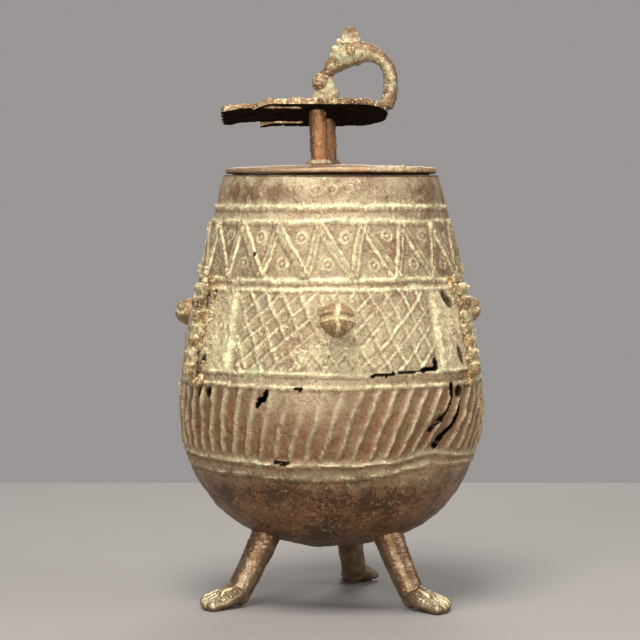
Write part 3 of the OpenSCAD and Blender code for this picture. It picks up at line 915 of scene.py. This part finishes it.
def makeLeg(node):
    shin = blobChain(leg["shin"], 14)
    foot = makeFoot(node)
    ankle = leg["shin"][-1][1]
    foot.data.transform(Matrix.Translation((0, ankle * mm, 0)))
    piece = joinPieces(shin + [foot], node.replace("leg_", "") + "Leg")
    fuse(piece, leg["voxel"], 3)
    pitMetal(piece, 0.07, 5.0, leg["turns"][node])
    points = readPoints(piece)
    # Grooves part the toes, from the tips to the middle of the foot
    a = math.radians(leg["footTurns"][node])
    fromAnkle = points[:, 1] - ankle
    aside = points[:, 0] * math.cos(a) + fromAnkle * math.sin(a)
    ahead = points[:, 0] * math.sin(a) - fromAnkle * math.cos(a)
    toe = aside / (np.interp(ahead, [5, 10.5, 14], [0.62, 0.9, 1.0]) * leg["toeGap"])
    groove = ridge(wrap(toe + 0.5, 1), leg["grooveHalf"]) * (np.abs(toe) < 2)
    groove *= stepUp(ahead, 4.0, 7.0) * (1 - stepUp(points[:, 2], 5.0, 6.5))
    points[:, 2] -= groove * leg["grooveDepth"]
    points[:, 1] += groove * 0.5 * stepUp(ahead, 12, 14)
    points[:, 2] = np.maximum(points[:, 2], 0.0)
    # The top of the shin flares a little into the bowl
    wall = underside(np.hypot(points[:, 0], points[:, 1]))
    points[:, 0] *= 1 + leg["flare"] * stepUp(points[:, 2], 20.0, 25.5)
    points[:, 2] = np.minimum(points[:, 2], wall + leg["intoWall"])
    writePoints(piece, points)
    height = points[:, 2]
    # A painted highlight and cream deposit on the tops of the toes
    paintPoints(piece, "raised", 0.5 * stepUp(ahead, 4, 9) * stepUp(height, 0.8, 2.6) * (1 - 2 * groove))
    # Painted shade in the grooves between the toes
    paintPoints(piece, "paintedShade", 0.6 * stepUp(groove, 0.3, 0.9))
    paintPoints(piece, "brownAndShade", 0.8 * stepUp(ahead, 1, 4) * (1 - stepUp(height, 0.4, 1.8)))
    turnPiece(piece, leg["turns"][node])
    smoothFaces(piece, 60)
    finishPiece(piece, legBronze, "vessel", "dark_bronze", node)


for legNode in leg["turns"]:
    makeLeg(legNode)
print("legs made")


# Handles


handle = {
    "turns": {  # halfway between the bosses
        "handle_left": bowl["bossTurn"] - 60,
        "handle_right": bowl["bossTurn"] + 60,
        "handle_rear": bowl["bossTurn"] + 180,
    },
    "shift": {"handle_left": 0.0, "handle_right": -1.2, "handle_rear": -0.5},  # below 0 is towards the bowl
    "edge": [  # distance from the axis and height along the ribbed edge
        (45.6, 111.6), (48.6, 110.3), (50.9, 107.4), (51.9, 103.6), (52.0, 99.6), (51.9, 95.8), (52.3, 92.0),
        (53.6, 88.4), (55.0, 85.0), (55.4, 81.6), (54.4, 78.6), (51.4, 76.0)],
    "beads": 9,
    "beadSize": (4.5, 3.1, 4.7),  # along the edge, out from it, across it
    "webWidth": 0.66,  # share of the full width
    "webInset": 0.9,
    "filletLevels": (77.5, 110.5, 1.5),  # from, to and apart
    "filletAside": 1.6,
}


def handleWeb(node, name, turn, shift):
    # The web of the CAD handle, made thinner and with its free edge drawn in
    web = copyNode(node, name, 0.005)
    turnPiece(web, -turn)
    points = readPoints(web)
    points[:, 0] *= handle["webWidth"]
    free = stepUp(-points[:, 1] - wallRadius(points[:, 2]), 2.0, 4.0)
    points[:, 1] += (handle["webInset"] - shift) * free
    writePoints(web, points)
    # Metal and deposit fill the corners between the web and the wall
    parts = [web]
    for level in np.arange(*handle["filletLevels"]):
        onWall = -float(wallRadius(level)) - 0.2
        for side in (-1, 1):
            size = 1.3 + 0.3 * math.sin(level * 1.3 + side)
            parts.append(roundBlob((side * handle["filletAside"], onWall, level), size, segments=12))
    web = joinPieces(parts, name)
    fuse(web, 0.3, 5)
    return web


def handleBeads(line, along, turn):
    # Rounded blocks set square to the line of the edge
    def edgeAt(spot):
        return [float(np.interp(spot, along, line[:, i])) for i in (0, 1)]

    length, thick, wide = handle["beadSize"]
    beads = []
    for k in range(handle["beads"]):
        middle = (k + 0.5) / handle["beads"] * along[-1]
        out, height = edgeAt(middle)
        before, after = edgeAt(middle - 1), edgeAt(middle + 1)
        deselectAll()
        bpy.ops.mesh.primitive_cube_add(size=mm, location=(0, -out * mm, height * mm))
        bead = bpy.context.object
        bead.scale = (wide * (1 + 0.1 * math.sin(2.3 * k + turn)), thick, length * 0.96)
        bead.rotation_euler = (math.atan2(after[0] - before[0], before[1] - after[1]), 0, 0)
        applyPlace(bead)
        useModifier(bead, "BEVEL", width=0.75 * mm, segments=3)
        useModifier(bead, "SUBSURF", levels=1)
        beads.append(bead)
    return beads


def paintHandle(piece, line, along, turn):
    # Cream deposit in the joints of the edge and on some beads, brown at the sides, and both on the web
    points = readPoints(piece)
    aside, out, height = np.abs(points[:, 0]), -points[:, 1], points[:, 2]
    nearest = np.argmin((out[:, None] - line[:, 0]) ** 2 + (height[:, None] - line[:, 1]) ** 2, axis=1)
    step = np.clip(nearest, 1, len(line) - 2)
    ahead = line[step + 1] - line[step - 1]
    ahead /= np.linalg.norm(ahead, axis=1)[:, None]
    position = along[step] + (out - line[step, 0]) * ahead[:, 0] + (height - line[step, 1]) * ahead[:, 1]
    bead = position / along[-1] * handle["beads"]
    joint = ridge(np.abs(wrap(bead, 1)), 0.2)
    pale = 0.45 * stepUp(np.sin(2.6 * np.floor(bead) + turn), 0.1, 0.5)
    onWeb = 1 - stepUp(out - wallRadius(height), 2.5, 5.0)
    paintPoints(piece, "raised", np.maximum(0.95 * joint, pale) * (1 - onWeb))
    paintPoints(piece, "halo", 0.4 * onWeb)
    paintPoints(piece, "brownAndShade", np.maximum(0.35 * onWeb, 0.9 * (1 - onWeb) * stepUp(aside, 1.2, 2.2)))


def makeHandle(node):
    turn, shift = handle["turns"][node], handle["shift"][node]
    name = node.replace("handle_", "") + "Handle"
    line = np.array(handle["edge"]) + (shift, 0)
    along = lengthsAlong(line)
    web = handleWeb(node, name, turn, shift)
    piece = joinPieces([web] + handleBeads(line, along, turn), name)
    paintHandle(piece, line, along, turn)
    pitMetal(piece, 0.12, 3.5, turn)
    turnPiece(piece, turn)
    smoothFaces(piece, 50)
    finishPiece(piece, goldBronze, "vessel", "copper_red_bronze", node)


for handleNode in handle["turns"]:
    makeHandle(handleNode)
print("handles made")


# Bosses


boss = {
    "turns": {
        "boss_front": bowl["bossTurn"],
        "boss_left": bowl["bossTurn"] - 120,
        "boss_right": bowl["bossTurn"] + 120,
    },
    "scales": {"boss_front": 1.0, "boss_left": 0.84, "boss_right": 0.9},
    "drops": {"boss_front": 0.0, "boss_left": 1.2, "boss_right": 0.6},
    "radius": 5.8,
    "out": 14.2,
    "grooveHeight": 1.7,
    "grooveHalf": 1.25,
    "grooveDepth": 1.5,
    "rimLine": 1.35,  # from the middle of a groove to the line of painted shade beside it
    "rimHalf": 0.35,
    "stemRadius": 3.6,
    "stemFlare": 1.1,  # where it meets the wall
}


def bossBall(ballAt):
    # A ball cut by a cross of grooves. Gives it with the grooves and, for each point, its brown and its
    # painted shade
    radius = boss["radius"]
    ball = roundBlob((0, 0, 0), radius, (math.pi / 2, 0, 0), segments=96)
    points = readPoints(ball)
    x, y, z = points.T
    face = stepUp(-y, -1.0, 1.5)
    fromUpright = x + 0.25 * np.sin(z)
    fromLevel = z - boss["grooveHeight"] + 0.04 * x * x
    upright, level = (ridge(away, boss["grooveHalf"]) for away in (fromUpright, fromLevel))
    groove = np.maximum(upright, level)
    # The two lower lobes carry a crease each; painted shade lies in the creases and along both grooves
    crease = 0.4 * ridge(np.abs(x) - 2.9 - 0.12 * z, 0.45) * (1 - stepUp(z, 0.0, 1.0))
    rims = np.maximum(
        ridge(np.abs(fromUpright) - boss["rimLine"], boss["rimHalf"]) * (1 - level),
        ridge(np.abs(fromLevel) - boss["rimLine"], boss["rimHalf"]) * (1 - upright))
    points *= (1 - (groove * boss["grooveDepth"] + crease) * face / radius)[:, None]
    # The ball draws to a point below
    points[:, 0] *= 1 - 0.28 * stepUp(-points[:, 2], 1.0, 5.8)
    writePoints(ball, points + (0, -ballAt, bowl["bossHeight"]))
    # Painted shade in the creases and beside the grooves, over a brown of at least 0.7 everywhere
    worn = np.maximum(np.maximum(2.4 * crease, 1.8 * rims) * face, 0.7)
    return ball, stepUp(groove, 0.15, 0.6) * face, worn


def makeBoss(node):
    height = bowl["bossHeight"]
    wall = float(wallRadius(height))
    ballAt = wall + boss["out"] - boss["radius"]
    ball, deep, worn = bossBall(ballAt)
    stem = roundBlob((0, 0, 0), 1.0, segments=32)
    ends = readPoints(stem)
    flat = ends[:, 1]
    spread = boss["stemRadius"] + boss["stemFlare"] * stepUp(flat, 0.2, 1.0)
    inwards = -ballAt + 3.0 + (flat + 1) / 2 * (ballAt - wall - 2.2)
    writePoints(stem, np.column_stack([ends[:, 0] * spread, inwards, height + ends[:, 2] * spread]))
    piece = joinPieces([ball, stem], node.replace("boss_", "") + "Boss")
    deep = np.concatenate([deep, np.zeros(len(ends))])
    paintPoints(piece, "raised", deep)
    paintPoints(piece, "halo", deep)
    paintPoints(piece, "brownAndShade", np.concatenate([worn, np.full(len(ends), 0.3)]))
    points = readPoints(piece)
    scale = boss["scales"][node]
    points[:, 0] *= scale
    points[:, 2] = height + (points[:, 2] - height) * scale - boss["drops"][node]
    writePoints(piece, points)
    turnPiece(piece, boss["turns"][node])
    smoothFaces(piece, 70)
    finishPiece(piece, bossBronze, "vessel", "copper_red_bronze", node)


for bossNode in boss["turns"]:
    makeBoss(bossNode)
print("bosses made")


# Lid


lid = {
    "radius": 36.0,
    "thickness": 1.8,
    "rise": 1.5,
    "seat": bowl["rimHeight"],
    "flatFrom": 32.2,
    "crustAt": 0.75,  # in radians, as crustHalf is
    "crustHalf": 0.5,
}


def lidTop(reach):
    return lid["seat"] + lid["thickness"] + lid["rise"] * (1 - (reach / lid["radius"]) ** 2)


def lidLine():
    # Half the outline of the disc, from the middle of its underside to the middle of its top
    seat, radius = lid["seat"], lid["radius"]
    top = [(r, lidTop(r)) for r in np.linspace(0.001, radius - 0.5, 60)]
    edge = [
        (radius - 0.1, seat + 1.45), (radius, seat + 0.9), (radius - 0.1, seat + 0.3), (radius - 0.5, seat)]
    below = [(lid["flatFrom"], seat)]
    below += [(r, lidTop(r) - lid["thickness"]) for r in np.linspace(lid["flatFrom"] - 1, 0.001, 24)]
    return np.array(top + edge + below)[::-1]


def makeLid():
    line = lidLine()
    along = lengthsAlong(line)
    seat = lid["seat"]
    marks = {}

    def place(u, v):
        turn = np.radians(u * 360 - 180)
        reach, height = (np.interp(v * along[-1], along, line[:, k]) for k in (0, 1))
        x, y, flat = reach * np.sin(turn), reach * np.cos(turn), 0 * turn
        wave = 0.16 + 0.1 * np.sin(2 * turn + 0.6) + 0.06 * np.sin(5 * turn + 1.0)
        # The edge is crusted and torn to the right of the front
        crust = stepUp(reach, 32.5, 34.5) * np.exp(-((turn - lid["crustAt"]) / lid["crustHalf"]) ** 2)
        uneven = 0.12 * ripple(x, y, flat, 13, 1.0) + crust * (0.35 + 0.3 * ripple(x, y, flat, 3, 2.0))
        torn = np.clip(ripple(turn * lid["radius"], flat, height, 2.4, 3.0), 0, 1)
        marks["raised"] = 0.45 * crust * (height > seat + 0.7)
        # Painted shade on the underside near the edge, in the gap above the rim
        marks["paintedShade"] = 0.9 * stepUp(reach, 30, 32) * (1 - stepUp(height, seat + 0.1, seat + 0.5))
        lifted = height + stepUp(reach, 10, 36) * wave + uneven * stepUp(height, seat + 1, seat + 2)
        return roundAxis(reach - 0.5 * crust * torn, turn, lifted)

    piece = wrappedGrid("lidDisc", 420, 150, place)
    for mark, values in marks.items():
        paintPoints(piece, mark, values)
    mergeDoubles(piece, 0.01)
    faceOutwards(piece)
    smoothFaces(piece, 50)
    finishPiece(piece, lidBronze, "lid", "copper_red_bronze", "lid_disc")


makeLid()
# The ring under the lid keeps the shape that the CAD gives it
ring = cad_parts["lid_ring"]
ring.data.materials.clear()
ring.data.materials.append(sootBronze)
print("lid made")


# Bird


plate = {
    "height": 166.0,
    "tilt": 16.0,
    "thick": 2.0,
    "voxel": 0.36,
    "lobe": 4.3,  # width of one scallop at the end of the tail
    "bodyEnds": (19.45, -9.6),
    "tailEnds": (-8.0, -36.6),
    "nearWingEnds": (-8.0, -26.8),
    "farWingEnds": (-8.0, -24.5),
    "bodyEdge": [
        (19.45, -0.5), (19.3, -3.0), (18.4, -6.2), (16.6, -9.0), (14.0, -11.0), (10.5, -12.2), (6.0, -12.6),
        (-9.6, -12.6)],
    "tailEdge": [(-8.0, -7.2), (-20.0, -7.6), (-30.0, -8.2), (-34.0, -8.3), (-36.0, -7.4), (-36.6, -5.6)],
    "wingOuter": [
        (-8.0, -12.6), (-21.0, -12.6), (-23.2, -12.0), (-25.0, -11.6), (-26.2, -10.6), (-26.8, -9.8)],
    "wingInner": [(-8.0, -6.0), (-9.4, -8.6), (-10.0, -9.2), (-26.8, -9.5)],
    # Raised border: length against width
    "border": ([-36.6, -26.8, -21, -8, 12, 19.45], [8.4, 10.4, 12.5, 12.5, 12.0, 4.0]),
    "beads": 9,  # along each edge
    "firstBead": 13.2,
    "beadPitch": 2.15,
    "beadRadius": 0.72,
    "beadHeight": 1.25,
}
bird = {
    "neckVoxel": 0.3,
    "loopMiddle": (8.9, 178.2),  # the middle of the opening below the neck, and its reach each way
    "loopReach": (12.2, 9.8),
    "foreheadBumps": [(2.4, 190.9), (0.9, 188.6), (-0.1, 186.2), (-1.3, 183.6)],
    "beak": [(0.6, 0, 182.2, 2.3), (-1.2, 0, 180.6, 1.9), (-2.8, 0, 179.9, 1.3)],
    "crestFoot": (6.3, 0, 190.8),
    # Runs of solder up to the ball under the beak: length, height and radius
    "runs": [(-0.8, 173.4, 2.6), (-1.0, 175.4, 2.3), (-1.1, 177.4, 2.0), (-1.2, 179.0, 1.8)],
    "postLean": {"near": 0.5, "far": 0.9},
    "postFoot": 150.0,
    "postHeight": 18,
    "postDrop": 1.2,  # how far the feet of the posts reach down to the lid
}


def castCopy(node, name, voxel, smoothing, rough, length, seed):
    piece = copyNode(node, name)
    fuse(piece, voxel, smoothing)
    pitMetal(piece, rough, length, seed)
    return piece


def finishBird(piece, material, slot, node):
    smoothFaces(piece, 60)
    finishPiece(piece, material, "lid", slot, node)


def plateSlab(name, ends, edges):
    # One lobe of the plate: lengths from its first to its last end, between two edges (length, across)
    first, last = ends
    nearEdge, farEdge = (np.array(edge, float) for edge in edges)

    def place(u, v):
        x = first + (last - first) * u
        near, far = (np.interp(x, edge[::-1, 0], edge[::-1, 1]) for edge in (nearEdge, farEdge))
        y = near + (far - near) * v
        scallop = 1.1 * np.abs(np.sin(y / plate["lobe"] * math.pi)) if last < -30 else 0.0
        x = x - scallop * stepUp(-x, 30, 37)
        return np.column_stack([x, y, 0 * x + plate["thick"]])

    slab = wrappedGrid(name, 90, 40, place)
    faceOutwards(slab)
    useModifier(slab, "SOLIDIFY", thickness=plate["thick"] * mm, offset=0)
    points = readPoints(slab)
    points[:, 2] = (points[:, 2] - points[:, 2].min()) / np.ptp(points[:, 2]) * plate["thick"]
    writePoints(slab, points)
    return slab


def mirrored(edge):
    return [(x, -y) for x, y in edge]


def seatPlate(piece):
    # Tilts a piece with the plate and lifts it on to the posts
    piece.data.transform(Matrix.Rotation(math.radians(-plate["tilt"]), 4, "X"))
    piece.data.transform(Matrix.Translation((0, 0, plate["height"] * mm)))


def makePlate():
    body, tail, outer, inner = (plate[edge] for edge in ("bodyEdge", "tailEdge", "wingOuter", "wingInner"))
    slabs = [
        plateSlab("bodySlab", plate["bodyEnds"], (body, mirrored(body))),
        plateSlab("tailSlab", plate["tailEnds"], (tail, mirrored(tail))),
        plateSlab("nearWing", plate["nearWingEnds"], (outer, inner)),
        plateSlab("farWing", plate["farWingEnds"], (mirrored(inner), mirrored(outer)))]
    piece = joinPieces(slabs, "bodyPlate")
    fuse(piece, plate["voxel"], 2)
    pitMetal(piece, 0.14, 5.0, 1.0)
    points = readPoints(piece)
    x, y, z = points.T
    # Raised borders run along the wings
    border = ridge(np.abs(y) - np.interp(x, *plate["border"]) + 0.8, 1.5)
    upper = stepUp(z, plate["thick"] * 0.5, plate["thick"])
    points[:, 2] += border * upper * (0.5 + 0.3 * ripple(x, y, z, 6.0, 4.0))
    points[:, 2] = np.clip(points[:, 2], 0.0, 2.8)
    # The tail and the tips of the wings droop a little
    points[:, 2] -= 1.1 * stepUp(-x, 27, 37) * (1 - stepUp(np.abs(y), 8.5, 10))
    points[:, 2] -= 1.4 * stepUp(-x, 20, 26.5) * stepUp(np.abs(y), 8.4, 9.2)
    lower = stepUp(-readNormals(piece)[:, 2], 0.45, 0.7)
    writePoints(piece, points)
    # Painted shade on the underside of the plate
    paintPoints(piece, "paintedShade", 0.97 * lower)
    paintPoints(piece, "raised", 0.12 * (1 - lower) * border)
    seatPlate(piece)
    finishBird(piece, plateBronze, "patinated_bronze", "bird_plate")


def edgeBead(x, y, z):
    # A small ring with a dot in it, standing on the edge face of the plate
    deselectAll()
    bpy.ops.mesh.primitive_torus_add(
        location=(x * mm, y * mm, z * mm), rotation=(math.pi / 2, 0, 0), major_segments=20, minor_segments=10,
        major_radius=plate["beadRadius"] * mm, minor_radius=0.34 * mm)
    ringlet = bpy.context.object
    applyPlace(ringlet)
    return joinPieces([ringlet, roundBlob((x, y, z), 0.42, segments=12)], "edgeBead")


def makeBeads():
    edge = np.array(plate["bodyEdge"])
    made = []
    for side in (-1, 1):
        for k in range(plate["beads"]):
            x = plate["firstBead"] - k * plate["beadPitch"]
            out = 0.05 - float(np.interp(x, edge[::-1, 0], edge[::-1, 1]))
            made.append(edgeBead(x, side * out, plate["beadHeight"] + 0.12 * math.sin(2.1 * k)))
    beads = joinPieces(made, "edgeBeads")
    seatPlate(beads)
    finishBird(beads, plateBronze, "copper_red_bronze", "plate_beads")


def makeNeck():
    neck = copyNode("bird_neck", "neckAndHead")
    bumps = [roundBlob((x + 0.3, 0, z), (1.35, 1.1, 1.3)) for x, z in bird["foreheadBumps"]]
    neck = joinPieces([neck] + bumps + blobChain(bird["beak"], 7), "neckAndHead")
    fuse(neck, bird["neckVoxel"], 3)
    pitMetal(neck, 0.13, 4.0, 3.0)
    # Worn brown along the outside of the curve, with deposit along the middle
    x, y, z = readPoints(neck).T
    (middleX, middleZ), (reachX, reachZ) = bird["loopMiddle"], bird["loopReach"]
    outward = np.hypot((x - middleX) / reachX, (z - middleZ) / reachZ)
    onNeck = stepUp(x, 3.0, 6.0)
    uneven = 0.75 + 0.5 * ripple(x, y, z, 5.0, 11.0)
    paintPoints(neck, "brownAndShade", 1.3 * onNeck * stepUp(outward, 0.99, 1.08) * (0.3 + uneven))
    paintPoints(neck, "halo", onNeck * ridge(outward - 0.98, 0.14) * uneven)
    finishBird(neck, birdBronze, "patinated_bronze", "bird_neck")


def makeCrest():
    # Its foot spreads into the head, and its top is worn brown
    crest = copyNode("bird_crest", "crest")
    crest = joinPieces([crest, roundBlob(bird["crestFoot"], (3.9, 2.2, 1.3))], "crest")
    fuse(crest, 0.22, 8)
    pitMetal(crest, 0.12, 3.0, 4.0)
    paintPoints(crest, "brownAndShade", stepUp(readPoints(crest)[:, 2], 192.5, 195.0))
    finishBird(crest, birdBronze, "patinated_bronze", "bird_crest")


def makeBall():
    ball = castCopy("beak_ball", "beakBall", 0.25, 1, 0.12, 3.0, 5.0)
    finishBird(ball, ballBronze, "copper_red_bronze", "beak_ball")


def makeMound():
    # The solder that carries the ball, wider towards its foot
    mound = copyNode("beak_solder", "beakSolder")
    runs = [roundBlob((x, 0, z), radius) for x, z, radius in bird["runs"]]
    mound = joinPieces([mound] + runs, "beakSolder")
    fuse(mound, 0.28, 4)
    pitMetal(mound, 0.18, 2.6, 6.0)
    points = readPoints(mound)
    middle = points.mean(axis=0)
    spread = 1.5 - 0.45 * stepUp(points[:, 2], points[:, 2].min() + 0.5, points[:, 2].max())
    points[:, :2] = middle[:2] + (points[:, :2] - middle[:2]) * spread[:, None]
    writePoints(mound, points)
    finishBird(mound, solderGrey, "solder", "beak_solder")


def makeEye(side):
    stud = castCopy("eye_" + side, side + "Eye", 0.12, 2, 0.02, 1.0, 7.0)
    points = readPoints(stud)
    middle = points.mean(axis=0)
    writePoints(stud, middle + (points - middle) * (1.25, 1.1, 1.25))
    finishBird(stud, goldBronze, "copper_red_bronze", "eye_" + side)


def makePost(side):
    post = castCopy("post_" + side, side + "Post", 0.4, 3, 0.12, 4.0, 8.0)
    points = readPoints(post)
    foot = bird["postFoot"]
    points[:, 0] -= bird["postLean"][side] * (points[:, 2] - foot) / bird["postHeight"]
    points[:, 2] -= bird["postDrop"] * (1 - stepUp(points[:, 2], foot, foot + 6))
    writePoints(post, points)
    finishBird(post, copperBronze, "copper_red_bronze", "post_" + side)


def makePostSolder():
    runs = castCopy("post_solder", "postSolder", 0.28, 4, 0.16, 2.4, 9.0)
    points = readPoints(runs)
    points[:, 2] -= bird["postDrop"] * 0.9
    writePoints(runs, points)
    finishBird(runs, solderGrey, "solder", "post_solder")


makePlate()
makeBeads()
makeNeck()
makeCrest()
makeBall()
makeMound()
for birdSide in ("near", "far"):
    makeEye(birdSide)
    makePost(birdSide)
makePostSolder()
print("bird made")


# Floor, light and camera, in metres and watts


lamps = {  # place, height that it points at, width of the disc, and power
    "overhead": ((-0.1, -0.42, 0.95), 0.1, 0.45, 13),
    "front": ((-0.5, -1.0, 0.55), 0.1, 0.4, 6),
    "right": ((0.9, -0.25, 0.45), 0.1, 0.4, 3),
    "rear": ((0.1, 0.9, 0.7), 0.1, 0.6, 5),
    "low": ((0.2, -1.1, 0.12), 0.05, 0.3, 5),
}
lampShade = (1, 0.985, 0.93)
sky = {"colour": (0.95, 0.9, 0.9, 1), "strength": 0.34}
view = {
    "distance": 0.890,
    "height": 0.1423,
    "sensorWidth": 36,  # in millimetres
    # The rest is in pixels: the horizon lies above the middle of the picture and the axis right of it
    "pictureWidth": 640,
    "focal": 2600,
    "horizonAbove": 135,
    "axisRight": 11,
}


def makeFloor():
    deselectAll()
    bpy.ops.mesh.primitive_plane_add(size=3, location=(0, -1.15, -0.0002))
    floor = bpy.context.object
    floor.name = "floor"
    paint = Paint("paleFloor")
    paint.feed(paint.shader.inputs["Base Color"], colour(131, 127, 125))
    paint.feed(paint.shader.inputs["Roughness"], 0.8)
    floor.data.materials.append(paint.material)


def softLamp(name, place, aimHeight, size, power):
    deselectAll()
    bpy.ops.object.light_add(type="AREA", location=place)
    lamp = bpy.context.object
    lamp.name = name
    lamp.data.shape = "DISK"
    lamp.data.size = size
    lamp.data.energy = power
    lamp.data.color = lampShade
    lamp.rotation_euler = (Vector((0, 0, aimHeight)) - Vector(place)).to_track_quat("-Z", "Y").to_euler()


def makeSky():
    world = bpy.data.worlds.new("studio")
    bpy.context.scene.world = world
    world.use_nodes = True
    background = world.node_tree.nodes["Background"]
    background.inputs["Color"].default_value = sky["colour"]
    background.inputs["Strength"].default_value = sky["strength"]


def makeCamera():
    distance, focal = view["distance"], view["focal"]
    deselectAll()
    bpy.ops.object.camera_add(location=(-view["axisRight"] / focal * distance, -distance, view["height"]))
    camera = bpy.context.object
    camera.data.sensor_width = view["sensorWidth"]
    camera.data.lens = focal / view["pictureWidth"] * view["sensorWidth"]
    camera.data.clip_start = 0.01
    camera.rotation_euler = (math.pi / 2 - math.atan(view["horizonAbove"] / focal), 0, 0)
    bpy.context.scene.camera = camera


makeFloor()
for lampName, lampValues in lamps.items():
    softLamp(lampName, *lampValues)
makeCamera()
makeSky()
bpy.context.scene.view_settings.view_transform = "Standard"
print("floor, light and camera made")
